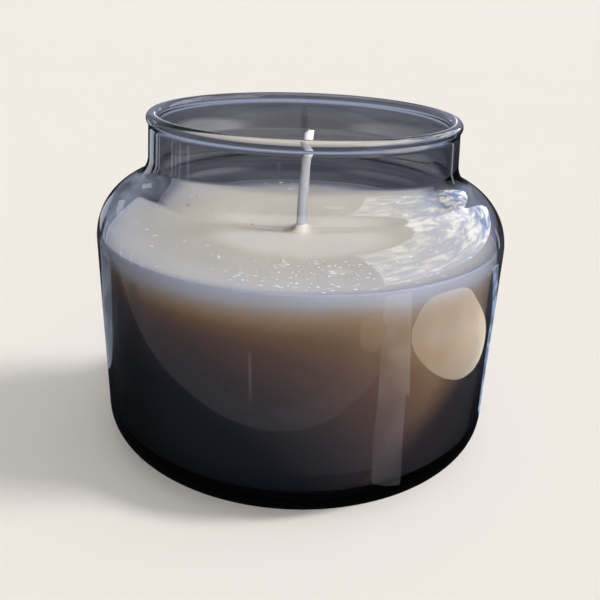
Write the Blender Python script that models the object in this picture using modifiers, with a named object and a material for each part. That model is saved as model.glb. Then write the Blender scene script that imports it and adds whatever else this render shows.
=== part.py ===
"""Candle in a smoked glass jar: a wide-mouthed, round-shouldered jar, poured wax, and a cored cotton wick that
stands in a metal sustainer on an adhesive dot.

Metres, +Z up. The origin is on the jar's axis, in the plane that the base ring stands on.
"""

import math

import bmesh
import bpy
from mathutils import Vector
from mathutils.geometry import interpolate_bezier

# Driving dimensions of the jar
BODY_RADIUS = 0.0500
HEIGHT = 0.0805
SHOULDER_START = 0.0515  # height at which the straight wall turns into the shoulder
HEEL_RADIUS = 0.0074
SHOULDER_RADIUS = 0.0138
NECK_FILLET = 0.0072
NECK_RADIUS = 0.0371
NECK_DRAW_IN = 0.0004  # how much narrower the neck is under the rim than at its root
BEAD_RADIUS = 0.0014  # the fire-polished rim is a round bead
BEAD_OVERHANG = 0.0005  # how far the bead stands out past the neck
WALL = 0.0020
SHOULDER_DROP = 0.0015  # how much lower the shoulder runs inside than outside, which thickens the glass there
BASE_THICKNESS = 0.0045
INNER_HEEL_RADIUS = 0.0045
PUNT_DEPTH = 0.0010  # the base is hollowed, so that it stands on a ring
PUNT_RADIUS = 0.0330
PUNT_EDGE = 0.0020

# Driving dimensions of what the jar holds
FILL_LEVEL = 0.0530
GAP = 0.0003  # kept between pieces that touch on the real candle
MENISCUS = 0.0009  # how far the wax climbs the glass
MENISCUS_REACH = 0.0030
WICK_RADIUS = 0.0011
CORE_RADIUS = 0.00035
WICK_TOP = 0.0778
DOT_RADIUS = 0.0070
DOT_THICKNESS = 0.0008
TAB_RADIUS = 0.0080
TAB_SHEET = 0.0003
TAB_COLLAR_HEIGHT = 0.0042
TAB_CONE_RISE = 0.0010
TAB_CONE_RADIUS = 0.0038
CRIMP_DEPTH = 0.00012
CRIMP_COUNT = 4
PUNCH_RADIUS = 0.0006
PUNCH_LENGTH = 0.0030

# The tab was stuck down a little off centre, and the wick leans from it towards the front.
TAB_PLACE = Vector((0.0, -0.0050))
WICK_ROUTE = (
    Vector((0.0000, -0.0050, 0.0108)),
    Vector((-0.0001, -0.0085, FILL_LEVEL)),
    Vector((0.0001, -0.0088, 0.0625)),
    Vector((0.0007, -0.0088, 0.0715)),
    Vector((0.0012, -0.0088, WICK_TOP)),
)

TURN_STEPS = 64
SMALL_TURN_STEPS = 32
MERGE = 0.00001
CUT_OVERSHOOT = 0.002


def start_collections():
    """Empties the scene and makes one collection for the pieces and one for the cutters."""
    for old in list(bpy.data.objects):
        bpy.data.objects.remove(old, do_unlink=True)
    made = []
    for name in ("candle_jar", "cutters"):
        collection = bpy.data.collections.new(name)
        bpy.context.scene.collection.children.link(collection)
        made.append(collection)
    return made


def material(name, colour, roughness, metallic=0.0, transmission=0.0):
    made = bpy.data.materials.new(name)
    made.use_nodes = True
    shader = made.node_tree.nodes["Principled BSDF"]
    shader.inputs["Base Color"].default_value = (*colour, 1.0)
    shader.inputs["Roughness"].default_value = roughness
    shader.inputs["Metallic"].default_value = metallic
    shader.inputs["Transmission Weight"].default_value = transmission
    return made


def arc(centre, radius, start, end, steps):
    """Points (radius, height) of a round stretch, its angles in degrees from the outward direction."""
    angles = [math.radians(start + (end - start) * k / steps) for k in range(steps + 1)]
    return [(centre[0] + radius * math.cos(a), centre[1] + radius * math.sin(a)) for a in angles]


def shoulder_line(body_radius, neck_radius, shoulder_radius, fillet, start, steps):
    """The S-curve from the neck's root, down over the shoulder, to the body wall, which it meets at start."""
    centre = (body_radius - shoulder_radius, start)
    across = neck_radius + fillet - centre[0]
    rise = math.sqrt((shoulder_radius + fillet) ** 2 - across**2)
    meet = math.degrees(math.atan2(rise, across))
    hollow = arc((neck_radius + fillet, centre[1] + rise), fillet, 180, 180 + meet, steps)
    crown = arc(centre, shoulder_radius, meet, 0, steps + 3)
    return hollow + crown[1:]


def jar_outside():
    """Rim to base ring, down the outer side."""
    top_radius = NECK_RADIUS - NECK_DRAW_IN
    bead = (top_radius + BEAD_OVERHANG - BEAD_RADIUS, HEIGHT - BEAD_RADIUS)
    heel = (BODY_RADIUS - HEEL_RADIUS, HEEL_RADIUS)
    return [
        *arc(bead, BEAD_RADIUS, 90, -50, 7),
        *shoulder_line(BODY_RADIUS, NECK_RADIUS, SHOULDER_RADIUS, NECK_FILLET, SHOULDER_START, 5),
        *arc(heel, HEEL_RADIUS, 0, -90, 8),
        (PUNT_RADIUS, 0.0),
        (PUNT_RADIUS - PUNT_EDGE, PUNT_DEPTH),
        (0.0, PUNT_DEPTH),
    ]


def jar_inside(clearance=0.0, steps=5):
    """Base to neck, up the inner side. Clearance moves it in from the glass."""
    wall = BODY_RADIUS - WALL - clearance
    floor = BASE_THICKNESS + clearance
    heel_radius = INNER_HEEL_RADIUS - clearance
    heel = (wall - heel_radius, floor + heel_radius)
    shoulder = shoulder_line(
        wall,
        NECK_RADIUS - WALL - clearance,
        SHOULDER_RADIUS - clearance,
        NECK_FILLET + clearance,
        SHOULDER_START - SHOULDER_DROP,
        steps,
    )
    return [(0.0, floor), *arc(heel, heel_radius, -90, 0, steps), *reversed(shoulder)]


def jar_profile():
    top_radius = NECK_RADIUS - NECK_DRAW_IN
    bead = (top_radius + BEAD_OVERHANG - BEAD_RADIUS, HEIGHT - BEAD_RADIUS)
    over_the_rim = arc(bead, BEAD_RADIUS, 180, 90, 5)
    return jar_inside() + over_the_rim[:-1] + jar_outside()


def wax_profile():
    """Top centre, out to the glass with its meniscus, and down the wall to the centre of the floor."""
    wall = [p for p in jar_inside(GAP) if p[1] < FILL_LEVEL]
    # The shoulder has hardly begun at the fill level, so the wax edge follows its arc.
    bend = SHOULDER_RADIUS - GAP
    climb = FILL_LEVEL + MENISCUS - (SHOULDER_START - SHOULDER_DROP)
    edge = BODY_RADIUS - WALL - GAP - bend + math.sqrt(bend**2 - climb**2)
    rise = [
        (edge - MENISCUS_REACH * (1 - k / 4), FILL_LEVEL + MENISCUS * (k / 4) ** 3) for k in range(5)
    ]
    return [(0.0, FILL_LEVEL), *rise, *reversed(wall)]


def tab_profile():
    """Closed outline of the pressed sheet: flat rim, low cone, and the collar that grips the wick."""
    bore = WICK_RADIUS + GAP
    low = BASE_THICKNESS + DOT_THICKNESS + 2 * GAP
    cone = low + TAB_CONE_RISE
    top = low + TAB_COLLAR_HEIGHT
    outer = bore + TAB_SHEET
    return [
        (outer, top),
        (outer, cone + TAB_SHEET),
        (TAB_CONE_RADIUS, low + TAB_SHEET),
        (TAB_RADIUS, low + TAB_SHEET),
        (TAB_RADIUS, low),
        (TAB_CONE_RADIUS + TAB_SHEET, low),
        (bore + TAB_SHEET, cone - TAB_SHEET),
        (bore, cone),
        (bore, top),
    ]


def turned(name, profile, closed=False, place=(0.0, 0.0), steps=TURN_STEPS):
    """An outline at +X, turned round Z. An open outline starts and ends on the axis."""
    mesh = bpy.data.meshes.new(name)
    edges = [(k, k + 1) for k in range(len(profile) - 1)]
    if closed:
        edges.append((len(profile) - 1, 0))
    mesh.from_pydata([(r, 0.0, z) for r, z in profile], edges, [])
    made = bpy.data.objects.new(name, mesh)
    made.location = (*place, 0.0)
    screw = made.modifiers.new("turn", "SCREW")
    screw.axis = "Z"
    screw.steps = steps
    screw.render_steps = steps
    screw.use_smooth_shade = True
    screw.use_merge_vertices = True
    screw.merge_threshold = MERGE
    return made


def disc(radius, top, bottom):
    """Outline of a plain round disc or rod."""
    return [(0.0, top), (radius, top), (radius, bottom), (0.0, bottom)]


def wick_points(start, end, piece_length=0.0022):
    """Points of the wick's centreline: upright in the collar, then one smooth curve through the route."""
    route = [Vector((*TAB_PLACE, start)), *WICK_ROUTE[:-1], Vector((*WICK_ROUTE[-1].xy, end))]
    slopes = [
        (route[min(k + 1, len(route) - 1)] - route[max(k - 1, 0)]).normalized()
        for k in range(len(route))
    ]
    slopes[0] = slopes[1] = Vector((0.0, 0.0, 1.0))
    points = [route[0]]
    for k in range(len(route) - 1):
        span = (route[k + 1] - route[k]).length
        first = route[k] + slopes[k] * span / 3
        second = route[k + 1] - slopes[k + 1] * span / 3
        count = max(2, round(span / piece_length)) + 1
        points += interpolate_bezier(route[k], first, second, route[k + 1], count)[1:]
    return points


def rod(name, points, radius, sides=12):
    """A round rod along points, as a mesh with its caps welded on, so that Booleans can use it."""
    curve = bpy.data.curves.new(name, "CURVE")
    curve.dimensions = "3D"
    curve.bevel_depth = radius
    curve.bevel_resolution = sides // 2 - 2
    curve.use_fill_caps = True
    spline = curve.splines.new("POLY")
    spline.points.add(len(points) - 1)
    for target, point in zip(spline.points, points):
        target.co = (*point, 1.0)
    guide = bpy.data.objects.new(name + "_guide", curve)
    bpy.context.scene.collection.objects.link(guide)
    graph = bpy.context.evaluated_depsgraph_get()
    mesh = bpy.data.meshes.new_from_object(guide.evaluated_get(graph))
    mesh.name = name
    bpy.data.objects.remove(guide)
    welded = bmesh.new()
    welded.from_mesh(mesh)
    bmesh.ops.remove_doubles(welded, verts=welded.verts, dist=MERGE)
    welded.to_mesh(mesh)
    welded.free()
    mesh.shade_smooth()
    mesh.set_sharp_from_angle(angle=math.radians(50))
    return bpy.data.objects.new(name, mesh)


def cut(target, cutter, cutters):
    """Takes the cutter out of the target. The cutter stays in the scene as a hidden helper."""
    cutter.hide_render = True
    cutter.display_type = "WIRE"
    cutters.objects.link(cutter)
    boolean = target.modifiers.new("cut_" + cutter.name, "BOOLEAN")
    boolean.operation = "DIFFERENCE"
    boolean.solver = "EXACT"
    boolean.object = cutter


def glass_jar():
    made = turned("glass_jar", jar_profile())
    made.data.materials.append(material("smoked_glass", (0.42, 0.45, 0.52), 0.02, transmission=1.0))
    return made


def wax_fill(cutters):
    """The poured wax, with the room that the dot, the tab and the wick take in it."""
    made = turned("wax_fill", wax_profile())
    made.data.materials.append(material("wax", (0.80, 0.75, 0.65), 0.45))
    dot_top = BASE_THICKNESS + GAP + DOT_THICKNESS
    tab_top = dot_top + GAP + TAB_SHEET + GAP
    collar_radius = WICK_RADIUS + 2 * GAP + TAB_SHEET
    collar_top = dot_top + GAP + TAB_COLLAR_HEIGHT + GAP
    cone_top = tab_top + TAB_CONE_RISE
    room = [
        (0.0, collar_top),
        (collar_radius, collar_top),
        (collar_radius, cone_top),
        (TAB_CONE_RADIUS + GAP, tab_top),
        (TAB_RADIUS + GAP, tab_top),
        (TAB_RADIUS + GAP, BASE_THICKNESS - CUT_OVERSHOOT),
        (0.0, BASE_THICKNESS - CUT_OVERSHOOT),
    ]
    tab_room = turned("tab_room", room, place=TAB_PLACE, steps=SMALL_TURN_STEPS)
    cut(made, tab_room, cutters)
    channel = wick_points(collar_top - CUT_OVERSHOOT, WICK_TOP)
    cut(made, rod("wick_channel", channel, WICK_RADIUS + GAP), cutters)
    return made


def wick_foot():
    """Height of the wick's lower end, just above the adhesive dot."""
    return BASE_THICKNESS + DOT_THICKNESS + 2 * GAP


def wick_braid(cutters):
    """The cotton braid, a sleeve round the core."""
    made = rod("wick_braid", wick_points(wick_foot(), WICK_TOP), WICK_RADIUS)
    made.data.materials.append(material("cotton", (0.86, 0.85, 0.83), 0.75))
    bore = wick_points(wick_foot() - CUT_OVERSHOOT, WICK_TOP + CUT_OVERSHOOT)
    cut(made, rod("core_bore", bore, CORE_RADIUS + GAP, sides=8), cutters)
    return made


def wick_core():
    """The stiffening core of twisted paper, inside the braid."""
    made = rod("wick_core", wick_points(wick_foot(), WICK_TOP), CORE_RADIUS, sides=8)
    made.data.materials.append(material("paper_core", (0.80, 0.76, 0.66), 0.85))
    return made


def wick_sustainer(cutters):
    """The pressed tinplate tab, its collar crimped at four places round the wick."""
    made = turned("wick_sustainer", tab_profile(), closed=True, place=TAB_PLACE, steps=SMALL_TURN_STEPS)
    made.data.materials.append(material("tinplate", (0.72, 0.72, 0.70), 0.28, metallic=1.0))
    outer = WICK_RADIUS + GAP + TAB_SHEET
    middle = wick_foot() + 0.7 * TAB_COLLAR_HEIGHT
    for k in range(CRIMP_COUNT):
        turn = 2 * math.pi * (k + 0.5) / CRIMP_COUNT
        punch = turned(f"crimp_{k}", disc(PUNCH_RADIUS, PUNCH_LENGTH / 2, -PUNCH_LENGTH / 2), steps=12)
        reach = outer - CRIMP_DEPTH + PUNCH_RADIUS
        punch.location = (
            TAB_PLACE.x + reach * math.cos(turn),
            TAB_PLACE.y + reach * math.sin(turn),
            middle,
        )
        punch.rotation_euler = (math.pi / 2, 0.0, turn)
        cut(made, punch, cutters)
    return made


def adhesive_dot():
    """The double-sided foam disc that holds the tab to the glass."""
    low = BASE_THICKNESS + GAP
    made = turned(
        "adhesive_dot",
        disc(DOT_RADIUS, low + DOT_THICKNESS, low),
        place=TAB_PLACE,
        steps=SMALL_TURN_STEPS,
    )
    made.modifiers["turn"].use_smooth_shade = False
    made.data.materials.append(material("foam_adhesive", (0.90, 0.90, 0.88), 0.80))
    return made


def main():
    pieces, cutters = start_collections()
    for made in (
        glass_jar(),
        wax_fill(cutters),
        wick_braid(cutters),
        wick_core(),
        wick_sustainer(cutters),
        adhesive_dot(),
    ):
        pieces.objects.link(made)


main()
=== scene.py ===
"""Looks of the candle jar: smoked glass, poured wax with its sweat and stains, and a waxed braided wick."""

import math
import random

import bmesh
import bpy
from mathutils import Matrix, Vector, noise
from mathutils.geometry import interpolate_bezier


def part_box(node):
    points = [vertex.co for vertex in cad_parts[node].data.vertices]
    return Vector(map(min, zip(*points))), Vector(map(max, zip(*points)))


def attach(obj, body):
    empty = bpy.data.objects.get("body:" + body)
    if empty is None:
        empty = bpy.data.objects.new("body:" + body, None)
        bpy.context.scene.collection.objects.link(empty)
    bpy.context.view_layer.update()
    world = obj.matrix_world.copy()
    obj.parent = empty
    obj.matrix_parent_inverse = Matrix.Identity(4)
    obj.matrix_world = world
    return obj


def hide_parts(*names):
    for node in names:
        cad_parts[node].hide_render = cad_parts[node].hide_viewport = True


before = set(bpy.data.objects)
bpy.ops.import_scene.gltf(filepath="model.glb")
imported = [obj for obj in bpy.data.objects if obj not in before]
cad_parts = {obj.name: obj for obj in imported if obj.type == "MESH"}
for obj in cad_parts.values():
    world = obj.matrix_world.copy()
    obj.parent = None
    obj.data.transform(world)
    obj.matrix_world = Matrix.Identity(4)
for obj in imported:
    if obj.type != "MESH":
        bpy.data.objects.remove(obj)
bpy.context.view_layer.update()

# ---------------------------------------------------------------- dimensions, in metres

_, JAR_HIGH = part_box("glass_jar")
BODY_RADIUS = JAR_HIGH.x
HEIGHT = JAR_HIGH.z
SHOULDER_START = 0.0515
HEEL_RADIUS = 0.0074
SHOULDER_RADIUS = 0.0138
NECK_FILLET = 0.0072
NECK_RADIUS = 0.0371
NECK_DRAW_IN = 0.0004
BEAD_RADIUS = 0.0014
BEAD_OVERHANG = 0.0005
WALL = 0.0020
SHOULDER_DROP = 0.0015
BASE_THICKNESS = 0.0045
INNER_HEEL_RADIUS = 0.0045
PUNT_DEPTH = 0.0010
PUNT_RADIUS = 0.0330
PUNT_EDGE = 0.0020
WAX_GAP = 0.00012  # between the wax and the glass
FILL_LEVEL = 0.0530
WICK_FOOT = Vector((-0.0001, -0.0085))
TAB_PLACE = Vector((0.0, -0.0050))
WAX_EDGE = 0.04750  # where the wax has climbed the glass
WICK_RADIUS = 0.0011
CORE_RADIUS = 0.00035
BRAID_PITCH = 0.0058

# Camera: place in metres, compass heading, tilt below level and roll in degrees, lens in millimetres
CAMERA_PLACE = Vector((0.0, -0.1734, 0.10605))
CAMERA_HEADING = 0.12
CAMERA_TILT = 23.20
CAMERA_ROLL = 2.01
SENSOR_WIDTH = 36.0
LENS = 42.73

# Studio: colours, the bearing its light comes from, and how far its cards stand from the jar
BACKDROP = (0.888, 0.847, 0.799)
FLOOR = (0.865, 0.838, 0.81)
DOME_BEARING = (0.95, -0.31, 0.0)
STUDIO_RADIUS = 6.0
CARD_DISTANCE = 0.9
HAZE_DISTANCE = 1.0
SLAT_DISTANCE = 0.3
CARD_MIDDLE = 0.05

# What the glass mirrors, as outlines on the table, with smooth stretches between the points
TABLE_EDGE = [
    (-0.200, 0.070),
    (-0.102, -0.040),
    (-0.045, -0.077),
    (0.030, -0.090),
    (0.078, -0.098),
    (0.140, -0.150),
]
LIT_EDGE = [(-0.240, 0.010), (-0.093, -0.074), (0.004, -0.100), (0.070, -0.125), (0.110, -0.160)]
RIBBON_NEAR = [(0.300, -0.330), (0.088, -0.115), (0.039, -0.068), (0.026, -0.055)]
RIBBON_FAR = [(0.030, -0.046), (0.068, -0.065), (0.094, -0.077), (0.311, -0.218)]
BOARD = [
    (0.106, -0.084),
    (0.152, -0.076),
    (0.180, -0.046),
    (0.160, 0.002),
    (0.113, 0.034),
    (0.087, 0.018),
    (0.090, -0.045),
]
SMALL_BOARD = [(0.074, -0.134), (0.092, -0.127), (0.089, -0.109), (0.068, -0.108), (0.061, -0.120)]
ROD = [(-0.0450, -0.1200), (-0.0415, -0.1205), (-0.0290, -0.0940), (-0.0305, -0.0930)]
LEFT_GLOW = [
    (-0.300, 0.150),
    (-0.110, 0.030),
    (-0.066, 0.012),
    (-0.066, 0.034),
    (-0.110, 0.085),
    (-0.260, 0.200),
]
BLUE_NEAR = [(0.0525, 0.002), (0.066, 0.044), (0.090, 0.078), (0.140, 0.100)]
BLUE_FAR = [(0.190, 0.080), (0.110, 0.060), (0.075, 0.022), (0.055, -0.004)]

# What shows through the neck and the back wall: centre on the floor, inner and outer radius, tone
BEHIND = [
    ((-0.130, 0.280), 0.020, 0.060, (0.085, 0.095, 0.13)),
    ((0.060, 0.140), 0.030, 0.090, (0.27, 0.28, 0.33)),
    ((-0.100, 0.480), 0.020, 0.060, (0.36, 0.37, 0.40)),
    ((0.000, 0.500), 0.030, 0.080, (0.10, 0.10, 0.125)),
    ((0.090, 0.480), 0.020, 0.060, (0.24, 0.24, 0.27)),
]

# Window slats on the left, between two bearings in degrees
SLAT_BEARINGS = [(-49, -36), (-58, -54), (-62, -60), (-81, -79), (-85, -84), (-90, -88), (-99, -96)]

# Outlines of the flags that shade the floor, turned round Z
FOOT_FLAG = [(0.030, 0.0006), (0.0415, 0.0006), (0.0465, 0.0050), (0.0470, 0.0120), (0.030, 0.0120)]
BODY_FLAG = [(0.0, 0.0060), (0.0290, 0.0060), (0.0310, 0.0120), (0.0310, 0.0490), (0.0, 0.0490)]

# The scorched stain beside the wick's foot
STAIN = Vector((-0.0030, -0.0090))

# Pinholes in the wax: x, y, radius
PITS = [
    (-0.0293, 0.0150, 0.00045),
    (-0.0307, 0.0103, 0.00045),
    (-0.0234, 0.0041, 0.00034),
    (-0.0405, 0.0200, 0.00034),
    (-0.0388, 0.0030, 0.00030),
    (-0.0403, 0.0060, 0.00034),
    (-0.0181, 0.0027, 0.00030),
    (-0.0120, -0.0060, 0.00026),
    (0.0210, 0.0280, 0.00030),
    (0.0290, -0.0100, 0.00028),
]

# Colour of the wax through the glass, from the fill line down: the wax's own tint, darkened downwards by
# painted shade, as light soaks in only from the open top
WAX_TINT_AND_SHADE = [
    (0.0, (0.47, 0.48, 0.56)),
    (0.035, (0.43, 0.42, 0.45)),
    (0.075, (0.36, 0.29, 0.235)),
    (0.12, (0.285, 0.185, 0.105)),
    (0.20, (0.175, 0.098, 0.050)),
    (0.33, (0.103, 0.057, 0.043)),
    (0.53, (0.054, 0.036, 0.037)),
    (0.76, (0.022, 0.020, 0.025)),
    (1.0, (0.008, 0.009, 0.013)),
]
SHADE_DEPTH = 0.05

# ---------------------------------------------------------------- mesh helpers


def mesh_object(name, verts, faces, material, smooth=True, sharp=None):
    mesh = bpy.data.meshes.new(name)
    mesh.from_pydata([tuple(v) for v in verts], [], faces)
    mesh.validate()
    outward = bmesh.new()
    outward.from_mesh(mesh)
    bmesh.ops.recalc_face_normals(outward, faces=outward.faces)
    outward.to_mesh(mesh)
    outward.free()
    if smooth:
        mesh.shade_smooth()
    if sharp is not None:
        mesh.set_sharp_from_angle(angle=math.radians(sharp))
    mesh.materials.append(material)
    made = bpy.data.objects.new(name, mesh)
    bpy.context.scene.collection.objects.link(made)
    return made


def lathe(profile, segments):
    """Vertices and faces of an open outline turned round Z, which starts and ends on the axis."""
    ring = profile[1:-1]
    verts = [(0.0, 0.0, profile[0][1])]
    for r, z in ring:
        for k in range(segments):
            a = 2 * math.pi * k / segments
            verts.append((r * math.cos(a), r * math.sin(a), z))
    verts.append((0.0, 0.0, profile[-1][1]))
    last = len(verts) - 1
    faces = []
    for k in range(segments):
        n = (k + 1) % segments
        faces.append((0, 1 + n, 1 + k))
        for j in range(len(ring) - 1):
            a, b = 1 + j * segments, 1 + (j + 1) * segments
            faces.append((a + k, a + n, b + n, b + k))
        a = 1 + (len(ring) - 1) * segments
        faces.append((a + k, a + n, last))
    return verts, faces


def turned_ring(outline, segments):
    """Vertices and faces of a closed outline turned round Z."""
    verts = [
        (r * math.cos(2 * math.pi * k / segments), r * math.sin(2 * math.pi * k / segments), z)
        for r, z in outline
        for k in range(segments)
    ]
    count = len(outline)
    faces = []
    for j in range(count):
        a, b = j * segments, (j + 1) % count * segments
        for k in range(segments):
            n = (k + 1) % segments
            faces.append((a + k, a + n, b + n, b + k))
    return verts, faces


def arc(centre, radius, start, end, steps):
    angles = [math.radians(start + (end - start) * k / steps) for k in range(steps + 1)]
    return [(centre[0] + radius * math.cos(a), centre[1] + radius * math.sin(a)) for a in angles]


def line(start, end, steps):
    """Points after start, up to end."""
    return [
        (start[0] + (end[0] - start[0]) * k / steps, start[1] + (end[1] - start[1]) * k / steps)
        for k in range(1, steps + 1)
    ]


def shoulder_line(body_radius, neck_radius, shoulder_radius, fillet, start, steps):
    """From the neck's root down to the body wall, which it meets at the height start."""
    centre = (body_radius - shoulder_radius, start)
    across = neck_radius + fillet - centre[0]
    rise = math.sqrt((shoulder_radius + fillet) ** 2 - across**2)
    meet = math.degrees(math.atan2(rise, across))
    hollow = arc((neck_radius + fillet, centre[1] + rise), fillet, 180, 180 + meet, steps)
    crown = arc(centre, shoulder_radius, meet, 0, 2 * steps)
    return hollow + crown[1:]


def jar_inside(clearance):
    """Base to neck, up the inner side, moved in from the glass by the clearance."""
    wall = BODY_RADIUS - WALL - clearance
    floor = BASE_THICKNESS + clearance
    heel_radius = INNER_HEEL_RADIUS - clearance
    heel = arc((wall - heel_radius, floor + heel_radius), heel_radius, -90, 0, 12)
    shoulder = shoulder_line(
        wall,
        NECK_RADIUS - WALL - clearance,
        SHOULDER_RADIUS - clearance,
        NECK_FILLET + clearance,
        SHOULDER_START - SHOULDER_DROP,
        14,
    )
    shoulder.reverse()
    return heel + line(heel[-1], shoulder[0], 30) + shoulder[1:]


def jar_profile():
    """Inner side up from the base, over the bead, and down the outer side to the base ring."""
    top_radius = NECK_RADIUS - NECK_DRAW_IN
    bead = (top_radius + BEAD_OVERHANG - BEAD_RADIUS, HEIGHT - BEAD_RADIUS)
    over = arc(bead, BEAD_RADIUS, 180, -50, 24)
    shoulder = shoulder_line(BODY_RADIUS, NECK_RADIUS, SHOULDER_RADIUS, NECK_FILLET, SHOULDER_START, 14)
    heel = arc((BODY_RADIUS - HEEL_RADIUS, HEEL_RADIUS), HEEL_RADIUS, 0, -90, 16)
    inside = jar_inside(0.0)
    outside = line(over[-1], shoulder[0], 8) + shoulder[1:] + line(shoulder[-1], heel[0], 30) + heel[1:]
    ring_end = (PUNT_RADIUS, 0.0)
    punt = line(heel[-1], ring_end, 3) + line(ring_end, (PUNT_RADIUS - PUNT_EDGE, PUNT_DEPTH), 3)
    floor = line((0.0, BASE_THICKNESS), inside[0], 6)
    return (
        [(0.0, BASE_THICKNESS)]
        + floor[:-1]
        + inside
        + line(inside[-1], over[0], 6)
        + over[1:]
        + outside
        + punt
        + line(punt[-1], (0.0, PUNT_DEPTH), 5)
    )


# ---------------------------------------------------------------- node helpers


def new_material(name):
    made = bpy.data.materials.new(name)
    made.use_nodes = True
    tree = made.node_tree
    return made, tree, tree.nodes["Principled BSDF"]


def node(tree, kind, sockets=None, **settings):
    made = tree.nodes.new(kind)
    for key, value in settings.items():
        setattr(made, key, value)
    for key, value in (sockets or {}).items():
        feed(tree, made.inputs[key], value)
    return made


def feed(tree, socket, value):
    if isinstance(value, bpy.types.NodeSocket):
        tree.links.new(value, socket)
    else:
        socket.default_value = value


def calc(tree, operation, *values):
    made = node(tree, "ShaderNodeMath", operation=operation)
    for socket, value in zip(made.inputs, values):
        feed(tree, socket, value)
    return made.outputs[0]


def remap(tree, value, low, high, to_low=0.0, to_high=1.0, smooth=True):
    sockets = {"Value": value, "From Min": low, "From Max": high, "To Min": to_low, "To Max": to_high}
    kind = "SMOOTHSTEP" if smooth else "LINEAR"
    return node(tree, "ShaderNodeMapRange", sockets, interpolation_type=kind).outputs["Result"]


def ramp(tree, factor, stops):
    """stops: (position, (r, g, b)), up to 32."""
    made = node(tree, "ShaderNodeValToRGB", {"Fac": factor})
    elements = made.color_ramp.elements
    for k, (position, colour) in enumerate(stops):
        element = elements[k] if k < 2 else elements.new(position)
        element.position = position
        element.color = (*colour, 1.0)
    return made.outputs["Color"]


def mix(tree, factor, a, b):
    made = tree.nodes.new("ShaderNodeMix")
    made.data_type = "RGBA"
    feed(tree, made.inputs["Factor"], factor)
    for key, value in ((6, a), (7, b)):
        feed(tree, made.inputs[key], (*value, 1.0) if isinstance(value, tuple) else value)
    return made.outputs[2]


def noise_at(tree, vector, scale, detail=3.0, roughness=0.5, distortion=0.0):
    sockets = {
        "Vector": vector,
        "Scale": scale,
        "Detail": detail,
        "Roughness": roughness,
        "Distortion": distortion,
    }
    return node(tree, "ShaderNodeTexNoise", sockets).outputs["Fac"]


def object_coords(tree):
    return node(tree, "ShaderNodeTexCoord").outputs["Object"]


def split(tree, vector):
    made = node(tree, "ShaderNodeSeparateXYZ", {"Vector": vector})
    return made.outputs["X"], made.outputs["Y"], made.outputs["Z"]


def bump(tree, height, strength, distance):
    sockets = {"Height": height, "Strength": strength, "Distance": distance}
    return node(tree, "ShaderNodeBump", sockets).outputs["Normal"]


# ---------------------------------------------------------------- materials


def glass_material():
    made, tree, shader = new_material("smoked_glass")
    place = object_coords(tree)
    shader.inputs["Base Color"].default_value = (1.0, 1.0, 1.0, 1.0)
    shader.inputs["Transmission Weight"].default_value = 1.0
    shader.inputs["IOR"].default_value = 1.5
    smudge = noise_at(tree, place, 90.0, detail=5.0, roughness=0.65, distortion=1.5)
    rough = remap(tree, smudge, 0.5, 0.8, 0.0, 0.035)
    feed(tree, shader.inputs["Roughness"], rough)
    wave = noise_at(tree, place, 45.0, detail=1.0)
    feed(tree, shader.inputs["Normal"], bump(tree, wave, 0.06, 0.0006))
    absorb = node(tree, "ShaderNodeVolumeAbsorption", {"Color": (0.38, 0.41, 0.46, 1.0), "Density": 300.0})
    tree.links.new(absorb.outputs["Volume"], tree.nodes["Material Output"].inputs["Volume"])
    return made


def length_of(tree, x, y):
    squares = calc(tree, "ADD", calc(tree, "MULTIPLY", x, x), calc(tree, "MULTIPLY", y, y))
    return calc(tree, "SQRT", squares)


def spot_at(tree, place, centre, inner, outer):
    """1 within inner of the centre, fading to 0 at outer."""
    gap = node(tree, "ShaderNodeVectorMath", {0: place, 1: centre}, operation="DISTANCE").outputs["Value"]
    return remap(tree, gap, inner, outer, 1.0, 0.0)


def wax_top_colour(tree, place):
    """Cream in the middle, greyer outwards and darker towards the back as painted shade under the shoulder,
    lavender at the glass, with a scorched stain and pinholes painted dark as shade.
    """
    x, y, _ = split(tree, place)
    radius = length_of(tree, x, y)
    cloud = noise_at(tree, place, 30.0, detail=4.0, distortion=0.6)
    ragged = calc(tree, "MULTIPLY_ADD", cloud, 0.012, radius)
    colour = mix(tree, remap(tree, cloud, 0.36, 0.66), (0.92, 0.83, 0.69), (1.0, 0.90, 0.72))
    # Greyer outwards and darker towards +Y: painted shade where the glass shoulder keeps light off the wax.
    colour = mix(tree, remap(tree, ragged, 0.024, 0.056), colour, (0.80, 0.76, 0.72))
    colour = mix(tree, remap(tree, y, 0.000, 0.046, 0.0, 0.70), colour, (0.34, 0.33, 0.36))
    colour = mix(tree, remap(tree, radius, 0.0440, 0.0474, 0.0, 0.8), colour, (0.60, 0.61, 0.70))
    # Near black at the back rim under the shoulder: painted shade.
    behind = calc(tree, "MULTIPLY", remap(tree, y, 0.008, 0.030), remap(tree, radius, 0.0380, 0.0468))
    colour = mix(tree, behind, colour, (0.13, 0.14, 0.18))
    tide = calc(tree, "MULTIPLY_ADD", noise_at(tree, place, 400.0), 0.0008, STAIN.x)
    along = calc(tree, "MULTIPLY", calc(tree, "SUBTRACT", x, tide), 0.45)
    reach = node(tree, "ShaderNodeCombineXYZ", {"X": along, "Y": y})
    scorch = spot_at(tree, reach.outputs["Vector"], (0.0, STAIN.y, 0.0), 0.0004, 0.0013)
    colour = mix(tree, calc(tree, "MULTIPLY", scorch, 0.8), colour, (0.56, 0.27, 0.11))
    pits = 0.0
    for px, py, size in PITS:
        pits = calc(tree, "MAXIMUM", pits, spot_at(tree, place, (px, py, FILL_LEVEL), size * 0.5, size))
    # The pinholes are painted near black: painted shade inside the holes.
    colour = mix(tree, calc(tree, "MULTIPLY", pits, 0.85), colour, (0.06, 0.05, 0.04))
    return colour, pits


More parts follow.
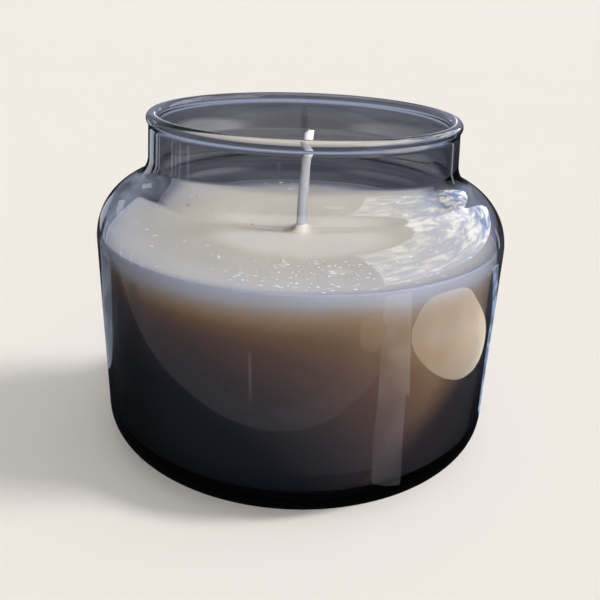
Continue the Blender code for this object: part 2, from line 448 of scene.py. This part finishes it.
def wax_side_tint_and_shade(tree, place, depth):
    """From lavender at the fill line to brown and to near black at the base, sooner on the -X side: the wax's
    own tint darkened by painted shade, since light reaches the wax mostly through the open top.
    """
    x = split(tree, place)[0]
    # Darkens sooner on the -X side, away from the key light: painted shade.
    pace = remap(tree, x, -0.0300, 0.0280, 1.0, -0.60, smooth=False)
    pace = calc(tree, "MULTIPLY", pace, remap(tree, depth, 0.003, 0.013))
    # Near black low down, reached sooner towards +X: painted shade.
    low_right = calc(tree, "MULTIPLY_ADD", x, 1.1, depth)
    depth = calc(tree, "MULTIPLY_ADD", depth, pace, depth)
    wander = noise_at(tree, place, 35.0, detail=3.0)
    shaded_depth = calc(tree, "MULTIPLY_ADD", calc(tree, "SUBTRACT", wander, 0.5), 0.004, depth)
    colour = ramp(
        tree,
        remap(tree, shaded_depth, 0.0, SHADE_DEPTH, smooth=False),
        WAX_TINT_AND_SHADE,
    )
    return mix(tree, remap(tree, low_right, 0.055, 0.069, 0.0, 0.92), colour, (0.004, 0.004, 0.006))


def wax_material():
    made, tree, shader = new_material("wax")
    place = object_coords(tree)
    x, y, z = split(tree, place)
    depth = calc(tree, "SUBTRACT", FILL_LEVEL, z)
    side = wax_side_tint_and_shade(tree, place, depth)
    top, pits = wax_top_colour(tree, place)
    radius = length_of(tree, x, y)
    on_top = calc(tree, "MULTIPLY", remap(tree, radius, 0.0475, 0.0472), remap(tree, depth, 0.0020, 0.0015))
    feed(tree, shader.inputs["Base Color"], mix(tree, on_top, side, top))
    cloud = noise_at(tree, place, 30.0, detail=4.0, distortion=0.6)
    feed(tree, shader.inputs["Roughness"], remap(tree, cloud, 0.3, 0.7, 0.42, 0.6))
    grain = noise_at(tree, place, 900.0, detail=2.0)
    relief = calc(tree, "SUBTRACT", calc(tree, "MULTIPLY", grain, 0.2), pits)
    feed(tree, shader.inputs["Normal"], bump(tree, relief, 0.35, 0.0003))
    shader.inputs["Subsurface Weight"].default_value = 0.15
    shader.inputs["Subsurface Radius"].default_value = (1.0, 0.6, 0.35)
    shader.inputs["Subsurface Scale"].default_value = 0.004
    return made


def sweat_material():
    made, tree, shader = new_material("wax_sweat")
    drift = noise_at(tree, object_coords(tree), 700.0)
    # Paler than the wax: partly the beads' own tone, partly painted highlight standing in for their glints.
    feed(tree, shader.inputs["Base Color"], mix(tree, drift, (0.80, 0.79, 0.76), (0.95, 0.94, 0.92)))
    feed(tree, shader.inputs["Roughness"], remap(tree, drift, 0.3, 0.7, 0.06, 0.16))
    return made


def wick_material():
    made, tree, shader = new_material("waxed_cotton")
    place = object_coords(tree)
    fibre = noise_at(tree, place, 1500.0, detail=3.0)
    soaked = mix(tree, fibre, (0.52, 0.51, 0.56), (0.66, 0.65, 0.66))
    dry = mix(tree, fibre, (0.86, 0.87, 0.90), (0.96, 0.96, 0.97))
    height = split(tree, place)[2]
    feed(tree, shader.inputs["Base Color"], mix(tree, remap(tree, height, 0.0745, 0.0765), soaked, dry))
    shader.inputs["Roughness"].default_value = 0.45
    feed(tree, shader.inputs["Normal"], bump(tree, fibre, 0.3, 0.0001))
    return made


def paper_material():
    """The wick's paper core: pale twisted fibres."""
    made, tree, shader = new_material("paper_twist")
    stretched = node(tree, "ShaderNodeMapping", {"Vector": object_coords(tree), "Scale": (1.0, 1.0, 0.15)})
    fibre = noise_at(tree, stretched.outputs["Vector"], 4000.0, detail=4.0, distortion=0.8)
    feed(tree, shader.inputs["Base Color"], mix(tree, fibre, (0.58, 0.50, 0.38), (0.82, 0.76, 0.64)))
    feed(tree, shader.inputs["Roughness"], remap(tree, fibre, 0.3, 0.7, 0.75, 0.95))
    feed(tree, shader.inputs["Normal"], bump(tree, fibre, 0.4, 0.0001))
    return made


def tin_material():
    """Rolled tinplate of the wick's foot: bright, finely scratched, duller in patches."""
    made, tree, shader = new_material("rolled_tin")
    place = object_coords(tree)
    rolled = node(tree, "ShaderNodeMapping", {"Vector": place, "Scale": (1.0, 0.05, 1.0)})
    scratch = noise_at(tree, rolled.outputs["Vector"], 3000.0, detail=3.0)
    patch = noise_at(tree, place, 260.0, detail=3.0, distortion=0.5)
    feed(tree, shader.inputs["Base Color"], mix(tree, patch, (0.55, 0.55, 0.54), (0.78, 0.78, 0.76)))
    feed(tree, shader.inputs["Roughness"], remap(tree, patch, 0.35, 0.65, 0.24, 0.45))
    feed(tree, shader.inputs["Normal"], bump(tree, scratch, 0.15, 0.00005))
    shader.inputs["Metallic"].default_value = 1.0
    return made


def foam_material():
    """The foam dot under the wick's foot: off-white with open cells."""
    made, tree, shader = new_material("foam_cells")
    place = object_coords(tree)
    cells = node(tree, "ShaderNodeTexVoronoi", {"Vector": place, "Scale": 2500.0}).outputs["Distance"]
    drift = noise_at(tree, place, 300.0, detail=2.0)
    tone = mix(tree, drift, (0.78, 0.77, 0.72), (0.88, 0.87, 0.83))
    # Darker in the middle of each cell: painted shade in the cells' hollows.
    feed(tree, shader.inputs["Base Color"], mix(tree, remap(tree, cells, 0.1, 0.5), (0.52, 0.51, 0.47), tone))
    feed(tree, shader.inputs["Roughness"], remap(tree, drift, 0.3, 0.7, 0.8, 0.95))
    feed(tree, shader.inputs["Normal"], bump(tree, cells, 0.5, 0.0002))
    return made


# ---------------------------------------------------------------- pieces


def kept_parts():
    """The parts whose modelled shape is already right get their finishes."""
    finishes = {"wick_core": paper_material, "wick_sustainer": tin_material, "adhesive_dot": foam_material}
    for name, finish in finishes.items():
        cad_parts[name].material_slots[0].material = finish()


def glass_jar():
    verts, faces = lathe(jar_profile(), 256)
    made = mesh_object("jar", verts, faces, glass_material())
    made.visible_shadow = False
    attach(made, "root")
    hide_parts("glass_jar")
    return made


def wax_profile():
    wall = [p for p in jar_inside(WAX_GAP) if p[1] < FILL_LEVEL] + [(WAX_EDGE, FILL_LEVEL + 0.0003)]
    edge = wall[-1]
    rings = 120
    top = []
    for k in range(1, rings):
        r = edge[0] * (1 - k / rings)
        climb = max(0.0, 1 - (edge[0] - r) / 0.0035)
        top.append((r, FILL_LEVEL + (edge[1] - FILL_LEVEL) * climb**3))
    return [(0.0, BASE_THICKNESS + WAX_GAP), *wall, *top, (0.0, FILL_LEVEL)]


def wax_top_height(x, y):
    """Height of the set wax's relief above the fill level."""
    away = math.hypot(x - WICK_FOOT.x, y - WICK_FOOT.y)
    collar = 0.0010 * math.exp(-((max(0.0, away - WICK_RADIUS) / 0.0008) ** 1.2))
    sway = 0.00018 * noise.noise(Vector((x * 60, y * 60, 0.3)))
    fine = 0.00005 * noise.noise(Vector((x * 260, y * 260, 4.1)))
    return collar + sway + fine


def wax_fill():
    verts, faces = lathe(wax_profile(), 360)
    shaped = []
    for x, y, z in verts:
        if z >= FILL_LEVEL - 0.0001:
            r = math.hypot(x, y)
            fade = min(1.0, max(0.0, (BODY_RADIUS - WALL - WAX_GAP - r) / 0.002))
            z += wax_top_height(x, y) * fade
        shaped.append((x, y, z))
    made = mesh_object("wax", shaped, faces, wax_material())
    made.visible_shadow = False
    made.visible_diffuse = False
    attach(made, "root")
    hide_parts("wax_fill")
    return made


def wick_line():
    """Centreline of the wick, from the tab up to the cut end."""
    low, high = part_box("wick_braid")
    route = [
        Vector((*TAB_PLACE, low.z)),
        Vector((*TAB_PLACE, 0.0108)),
        Vector((*WICK_FOOT, FILL_LEVEL)),
        Vector((0.0001, -0.0088, 0.0625)),
        Vector((0.0007, -0.0088, 0.0715)),
        Vector((0.0012, -0.0088, high.z)),
    ]
    slopes = [
        (route[min(k + 1, len(route) - 1)] - route[max(k - 1, 0)]).normalized()
        for k in range(len(route))
    ]
    slopes[0] = slopes[1] = Vector((0.0, 0.0, 1.0))
    points = [route[0]]
    for k in range(len(route) - 1):
        span = (route[k + 1] - route[k]).length
        first = route[k] + slopes[k] * span / 3
        second = route[k + 1] - slopes[k + 1] * span / 3
        spacing = 0.0015 if route[k + 1].z <= FILL_LEVEL else 0.00012
        points += interpolate_bezier(route[k], first, second, route[k + 1], round(span / spacing) + 2)[1:]
    return points


def braid_height(turn, z):
    """Relief of an eight-strand braid, 0 in the furrows and 1 on the strands."""
    pitch = 2 * math.pi * z / BRAID_PITCH
    left = abs(math.sin(2 * turn + pitch))
    right = abs(math.sin(2 * turn - pitch))
    return max(left, right) ** 0.6


def wick_braid():
    """The braided sleeve, soaked in wax, with a bore for its core and a slanting cut end."""
    points = wick_line()
    sides = 40
    verts = []
    top = points[-1].z
    for point in points:
        for k in range(sides):
            turn = 2 * math.pi * k / sides
            lump = 0.00005 * noise.noise(Vector((point.z * 500, math.cos(turn), math.sin(turn))))
            radius = WICK_RADIUS - 0.00013 + 0.00010 * braid_height(turn, point.z) + lump
            slant = 0.00045 * (math.cos(turn - 2.4) + 1) * max(0.0, 1 - (top - point.z) / 0.0012)
            verts.append(point + Vector((radius * math.cos(turn), radius * math.sin(turn), -slant)))
    outer_rings = len(points)
    bore = CORE_RADIUS + 0.0002
    for point in (points[-1], points[0]):
        for k in range(sides):
            turn = 2 * math.pi * k / sides
            drop = 0.0006 if point is points[-1] else 0.0
            verts.append(point + Vector((bore * math.cos(turn), bore * math.sin(turn), -drop)))
    faces = []
    order = list(range(outer_rings)) + [outer_rings, outer_rings + 1]
    for j in range(len(order)):
        a, b = order[j] * sides, order[(j + 1) % len(order)] * sides
        for k in range(sides):
            n = (k + 1) % sides
            faces.append((a + k, a + n, b + n, b + k))
    made = mesh_object("wick", verts, faces, wick_material(), sharp=60)
    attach(made, "root")
    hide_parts("wick_braid")
    return made


def wax_sweat():
    """Beads of oil and small blisters on the wax, thickest at the front."""
    rng = random.Random(11)
    verts, faces = [], []
    wanted = [(rng.gauss(0.005, 0.0095), rng.uniform(-0.0462, -0.0270)) for _ in range(300)]
    for _ in range(120):
        turn, r = rng.uniform(0, 2 * math.pi), 0.0455 * math.sqrt(rng.uniform(0.35, 0.98))
        wanted.append((r * math.cos(turn), r * math.sin(turn)))
    kept = []
    rings, sides = 4, 12
    for x, y in wanted:
        size = rng.choice((0.00016, 0.00020, 0.00024, 0.00030, 0.00038))
        crowded = any(math.hypot(x - other[0], y - other[1]) < 0.0010 for other in kept)
        if crowded or math.hypot(x, y) > 0.0455:
            continue
        kept.append((x, y))
        stretch = rng.uniform(1.0, 2.2)
        level = FILL_LEVEL + wax_top_height(x, y) - 0.00003
        start = len(verts)
        verts.append((x, y, level + 0.55 * size))
        for j in range(1, rings + 1):
            lean = math.pi / 2 * j / rings
            for k in range(sides):
                turn = 2 * math.pi * k / sides
                out = size * math.sin(lean)
                verts.append(
                    (
                        x + out * stretch * math.cos(turn),
                        y + out * math.sin(turn),
                        level + 0.55 * size * math.cos(lean),
                    )
                )
        for k in range(sides):
            n = (k + 1) % sides
            faces.append((start, start + 1 + k, start + 1 + n))
            for j in range(rings - 1):
                a, b = start + 1 + j * sides, start + 1 + (j + 1) * sides
                faces.append((a + k, b + k, b + n, a + n))
        last = start + 1 + (rings - 1) * sides
        faces.append(tuple(last + k for k in range(sides)))
    made = mesh_object("wax_sweat", verts, faces, sweat_material())
    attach(made, "root")
    return made


# ---------------------------------------------------------------- studio


def from_angles(azimuth, elevation, distance):
    """Point at a compass bearing (0 is +Y, 90 is +X) and elevation, in degrees, seen from the jar."""
    a, e = math.radians(azimuth), math.radians(elevation)
    return Vector((math.sin(a) * math.cos(e), math.cos(a) * math.cos(e), math.sin(e))) * distance


def glowing(name, colour, strength, through_noise=None, fade=None):
    """Emission for a studio card. Its brightness wanders with through_noise, and rises along X with fade."""
    made = bpy.data.materials.new(name)
    made.use_nodes = True
    tree = made.node_tree
    tree.nodes.remove(tree.nodes["Principled BSDF"])
    emission = node(tree, "ShaderNodeEmission", {"Color": (*colour, 1.0), "Strength": strength})
    if through_noise:
        scale, low, high = through_noise
        wander = noise_at(tree, object_coords(tree), scale, detail=4.0, distortion=0.4)
        feed(tree, emission.inputs["Strength"], remap(tree, wander, 0.35, 0.65, low, high))
    if fade:
        near, far, low = fade
        lift = remap(tree, split(tree, object_coords(tree))[0], near, far, low, 1.0)
        strength = emission.inputs["Strength"]
        source = strength.links[0].from_socket if strength.is_linked else strength.default_value
        feed(tree, strength, calc(tree, "MULTIPLY", source, lift))
    tree.links.new(emission.outputs[0], tree.nodes["Material Output"].inputs["Surface"])
    return made


def only_in(card, glossy=False, transmission=False):
    """A card that shows only in reflections, or only through the glass."""
    card.visible_camera = False
    card.visible_diffuse = False
    card.visible_shadow = False
    card.visible_glossy = glossy
    card.visible_transmission = transmission


def rounded(outline, steps=6):
    """The closed outline with its corners smoothed."""
    count = len(outline)
    made = []
    for k in range(count):
        p0, p1, p2, p3 = (Vector(outline[(k + j - 1) % count]) for j in range(4))
        first, second = p1 + (p2 - p0) / 6, p2 - (p3 - p1) / 6
        made += interpolate_bezier(p1, first, second, p2, steps + 1)[:-1]
    return [(p.x, p.y) for p in made]


def smoothed(points, steps=6):
    """An open line through the points, without corners."""
    ends = [points[0], *points, points[-1]]
    made = []
    for k in range(len(points) - 1):
        p0, p1, p2, p3 = (Vector(p) for p in ends[k : k + 4])
        made += interpolate_bezier(p1, p1 + (p2 - p0) / 6, p2 - (p3 - p1) / 6, p2, steps + 1)[:-1]
    return [(p.x, p.y) for p in made] + [tuple(points[-1])]


def flat_card(name, outline, height, material):
    verts = [(x, y, height) for x, y in outline]
    card = mesh_object(name, verts, [tuple(range(len(verts)))], material, smooth=False)
    only_in(card, glossy=True)
    return card


def wall_card(name, azimuths, elevations, distance, material, steps=12, slope=0.0):
    """A card curved round the jar, between two bearings and two elevations. Slope lifts its top's far end."""
    verts = []
    for j in range(steps + 1):
        for k in range(steps + 1):
            a = azimuths[0] + (azimuths[1] - azimuths[0]) * k / steps
            e = elevations[0] + (elevations[1] + slope * k / steps - elevations[0]) * j / steps
            verts.append(from_angles(a, e, distance) + Vector((0.0, 0.0, CARD_MIDDLE)))
    row = steps + 1
    faces = [
        (j * row + k, j * row + k + 1, (j + 1) * row + k + 1, (j + 1) * row + k)
        for j in range(steps)
        for k in range(steps)
    ]
    card = mesh_object(name, verts, faces, material, smooth=False)
    only_in(card, glossy=True)
    return card


def disc_outline(centre, radius, count=48):
    return [
        (
            centre[0] + radius * math.cos(2 * math.pi * k / count),
            centre[1] + radius * math.sin(2 * math.pi * k / count),
        )
        for k in range(count)
    ]


def floor_material(name, colour):
    made, _, shader = new_material(name)
    shader.inputs["Base Color"].default_value = (*colour, 1.0)
    shader.inputs["Roughness"].default_value = 0.9
    shader.inputs["Specular IOR Level"].default_value = 0.0
    return made


def seen_from_below(tree):
    """The floor is clear from underneath, so that the jar's base can be looked at."""
    under = node(tree, "ShaderNodeNewGeometry").outputs["Backfacing"]
    clear = node(tree, "ShaderNodeBsdfTransparent")
    surface = tree.nodes["Principled BSDF"].outputs[0]
    both = node(tree, "ShaderNodeMixShader", {0: under, 1: surface, 2: clear.outputs[0]})
    tree.links.new(both.outputs[0], tree.nodes["Material Output"].inputs["Surface"])


def stage():
    outline = disc_outline((0.0, 0.0), STUDIO_RADIUS, 64)
    face = [tuple(range(len(outline)))]
    plain = floor_material("floor", FLOOR)
    seen_from_below(plain.node_tree)
    level = [(x, y, 0.0) for x, y in outline]
    floor = mesh_object("floor", level, face, plain, smooth=False)
    floor.visible_glossy = False
    floor.visible_transmission = False
    behind = floor_material("behind_glass", (0.15, 0.155, 0.19))
    tree = behind.node_tree
    x, y, _ = split(tree, object_coords(tree))
    # Near black within about 5 cm of the axis: a painted contact shadow under the jar, seen through its base.
    near = remap(tree, length_of(tree, x, y), 0.05, 0.10)
    blotch = noise_at(tree, object_coords(tree), 9.0, detail=3.0)
    far = mix(tree, remap(tree, blotch, 0.35, 0.65), (0.12, 0.125, 0.155), (0.19, 0.195, 0.23))
    for centre, inner, outer, tone in BEHIND:
        far = mix(tree, spot_at(tree, object_coords(tree), (*centre, 0.0), inner, outer), far, tone)
    shade = mix(tree, near, (0.008, 0.009, 0.012), far)
    feed(tree, tree.nodes["Principled BSDF"].inputs["Base Color"], shade)
    spread = [(x, y, 0.00001) for x, y in outline]
    seen = mesh_object("behind_glass", spread, face, behind, smooth=False)
    only_in(seen, transmission=True)

    # The jar casts no shadow of its own. Two dark flags that only the light meets shade the floor: one inside
    # the wax, and a ring at the foot that stands about a millimetre out of the glass at the front left
    dark = floor_material("flag", (0.02, 0.02, 0.02))
    foot = turned_ring(FOOT_FLAG, 96)
    body = lathe(BODY_FLAG, 96)
    flags = (("foot_flag", foot, (-0.0035, -0.0025)), ("body_flag", body, (-0.0130, -0.0110)))
    for name, (verts, faces), shift in flags:
        flag = mesh_object(name, [(x + shift[0], y + shift[1], z) for x, y, z in verts], faces, dark)
        flag.visible_camera = False
        flag.visible_glossy = False
        flag.visible_transmission = False

    # What the glass mirrors: a dark table with the jar near its edge, and lighter ground beyond it
    ground = glowing("ground", (0.85, 0.82, 0.85), 0.22)
    flat_card("ground", disc_outline((0.0, 0.0), 3.0, 64), -0.0006, ground)
    edge = smoothed(TABLE_EDGE)
    table = [(-0.6, 0.4), *edge, (0.6, -0.6), (0.6, 0.9), (-0.6, 0.9)]
    flat_card("table", table, -0.0001, glowing("table", (0.9, 0.95, 1.1), 0.012))
    lit = glowing("lit_edge", (0.95, 0.90, 0.92), 0.31, fade=(-0.12, -0.03, 0.72))
    flat_card("lit_edge", edge + smoothed(LIT_EDGE)[::-1], -0.0003, lit)
    board = glowing("board", (1.0, 0.84, 0.66), 2.5, (30.0, 2.3, 2.75))
    flat_card("board", rounded(BOARD), 0.0004, board)
    small_board = glowing("small_board", (1.0, 0.8, 0.62), 0.9)
    flat_card("small_board", rounded(SMALL_BOARD), 0.0004, small_board)
    flat_card("rod", ROD, 0.0002, glowing("rod", (1.0, 0.90, 0.82), 0.75, (60.0, 0.5, 0.9)))
    left_glow = glowing("left_glow", (0.72, 0.82, 1.0), 0.34, (25.0, 0.22, 0.42))
    flat_card("left_glow", rounded(LEFT_GLOW), 0.0002, left_glow)
    ribbon = glowing("ribbon", (1.0, 0.97, 1.0), 1.1, (45.0, 0.8, 1.5), fade=(0.03, 0.09, 0.35))
    flat_card("ribbon", smoothed(RIBBON_NEAR) + smoothed(RIBBON_FAR), 0.0002, ribbon)
    blue_strip = glowing("blue_strip", (0.50, 0.68, 1.0), 0.9, (70.0, 0.4, 1.3))
    flat_card("blue_strip", smoothed(BLUE_NEAR) + smoothed(BLUE_FAR), 0.0003, blue_strip)

    sky = bpy.data.materials.new("sky")
    sky.use_nodes = True
    tree = sky.node_tree
    tree.nodes.remove(tree.nodes["Principled BSDF"])
    flattened = node(tree, "ShaderNodeMapping", {"Vector": object_coords(tree), "Scale": (1.0, 1.0, 2.2)})
    cloud = noise_at(tree, flattened.outputs["Vector"], 6.0, detail=8.0, roughness=0.60, distortion=0.35)
    tint = ramp(
        tree,
        cloud,
        [
            (0.41, (0.15, 0.22, 0.40)),
            (0.47, (0.27, 0.31, 0.43)),
            (0.52, (0.55, 0.54, 0.53)),
            (0.64, (1.0, 0.98, 0.93)),
        ],
    )
    emission = node(tree, "ShaderNodeEmission", {"Color": tint, "Strength": 6.6})
    tree.links.new(emission.outputs[0], tree.nodes["Material Output"].inputs["Surface"])
    wall_card("sky_window", (34, 137), (7, 50), CARD_DISTANCE, sky, steps=24, slope=8.0)
    sky_gap = glowing("sky_gap", (0.80, 0.86, 1.0), 2.2)
    wall_card("sky_gap", (150, 164), (31, 38), CARD_DISTANCE, sky_gap)
    pale = glowing("pale", (0.86, 0.88, 1.0), 1.5, (6.0, 0.9, 1.7))
    wall_card("left_window", (-52, -40), (12, 18), CARD_DISTANCE, pale)
    haze = glowing("haze", (0.70, 0.80, 1.0), 0.6, (5.0, 0.4, 0.75))
    wall_card("left_haze", (-64, -26), (1, 22), HAZE_DISTANCE, haze)
    rim_light = glowing("rim_light", (0.86, 0.90, 1.0), 2.6)
    wall_card("rim_light_left", (-12, -5), (3.5, 7.5), CARD_DISTANCE, rim_light)
    wall_card("rim_light_right", (8, 13), (8, 13), CARD_DISTANCE, rim_light)
    slat = glowing("slat", (0.80, 0.86, 1.0), 1.0)
    for k, bearings in enumerate(SLAT_BEARINGS):
        wall_card(f"slat_{k}", bearings, (-9, 3), SLAT_DISTANCE, slat, steps=4)
    wall_card("right_slat", (50, 53), (-9, 3), SLAT_DISTANCE, slat, steps=4)


def sun(name, azimuth, elevation, energy, angle, colour, shadow=True):
    data = bpy.data.lights.new(name, "SUN")
    data.energy = energy
    data.angle = math.radians(angle)
    data.color = colour
    data.use_shadow = shadow
    made = bpy.data.objects.new(name, data)
    made.rotation_euler = (-from_angles(azimuth, elevation, 1.0)).to_track_quat("-Z", "Y").to_euler()
    made.visible_glossy = False
    made.visible_transmission = False
    bpy.context.scene.collection.objects.link(made)


def lights():
    sun("key", 88, 36, 2.1, 17, (1.0, 0.96, 0.91))
    sun("front_fill", 158, 14, 3.0, 30, (1.0, 0.97, 0.93), shadow=False)

    world = bpy.data.worlds.new("studio")
    world.use_nodes = True
    bpy.context.scene.world = world
    tree = world.node_tree
    back = tree.nodes["Background"]
    path = node(tree, "ShaderNodeLightPath")
    rise = split(tree, node(tree, "ShaderNodeTexCoord").outputs["Generated"])[2]
    glow = ramp(
        tree,
        remap(tree, rise, -1.0, 1.0, smooth=False),
        [
            (0.0, (0.02, 0.02, 0.02)),
            (0.46, (0.03, 0.03, 0.04)),
            (0.50, (0.30, 0.33, 0.44)),
            (0.60, (0.52, 0.57, 0.72)),
            (0.68, (0.50, 0.55, 0.68)),
            (0.78, (0.16, 0.17, 0.20)),
            (0.92, (0.10, 0.10, 0.12)),
            (0.96, (1.70, 1.80, 2.00)),
        ],
    )
    outward = node(tree, "ShaderNodeTexCoord").outputs["Generated"]
    facing = node(tree, "ShaderNodeVectorMath", {0: outward, 1: DOME_BEARING}, operation="DOT_PRODUCT")
    across = facing.outputs["Value"]
    dome = mix(tree, remap(tree, across, -1.0, 1.0, smooth=False), (0.26, 0.26, 0.26), (0.54, 0.53, 0.52))
    colour = mix(tree, path.outputs["Is Diffuse Ray"], glow, dome)
    colour = mix(tree, path.outputs["Is Camera Ray"], colour, BACKDROP)
    feed(tree, back.inputs["Color"], colour)


def camera():
    data = bpy.data.cameras.new("camera")
    made = bpy.data.objects.new("camera", data)
    bpy.context.scene.collection.objects.link(made)
    heading = Matrix.Rotation(-math.radians(CAMERA_HEADING), 4, "Z")
    tilt = Matrix.Rotation(math.radians(90 - CAMERA_TILT), 4, "X")
    roll = Matrix.Rotation(math.radians(CAMERA_ROLL), 4, "Z")
    made.matrix_world = Matrix.Translation(CAMERA_PLACE) @ heading @ tilt @ roll
    data.sensor_width = SENSOR_WIDTH
    data.lens = LENS
    data.clip_start = 0.01
    data.clip_end = 50.0
    bpy.context.scene.camera = made


camera()
stage()
lights()
glass_jar()
wax_fill()
wick_braid()
wax_sweat()
kept_parts()
bpy.context.scene.view_settings.view_transform = "Standard"
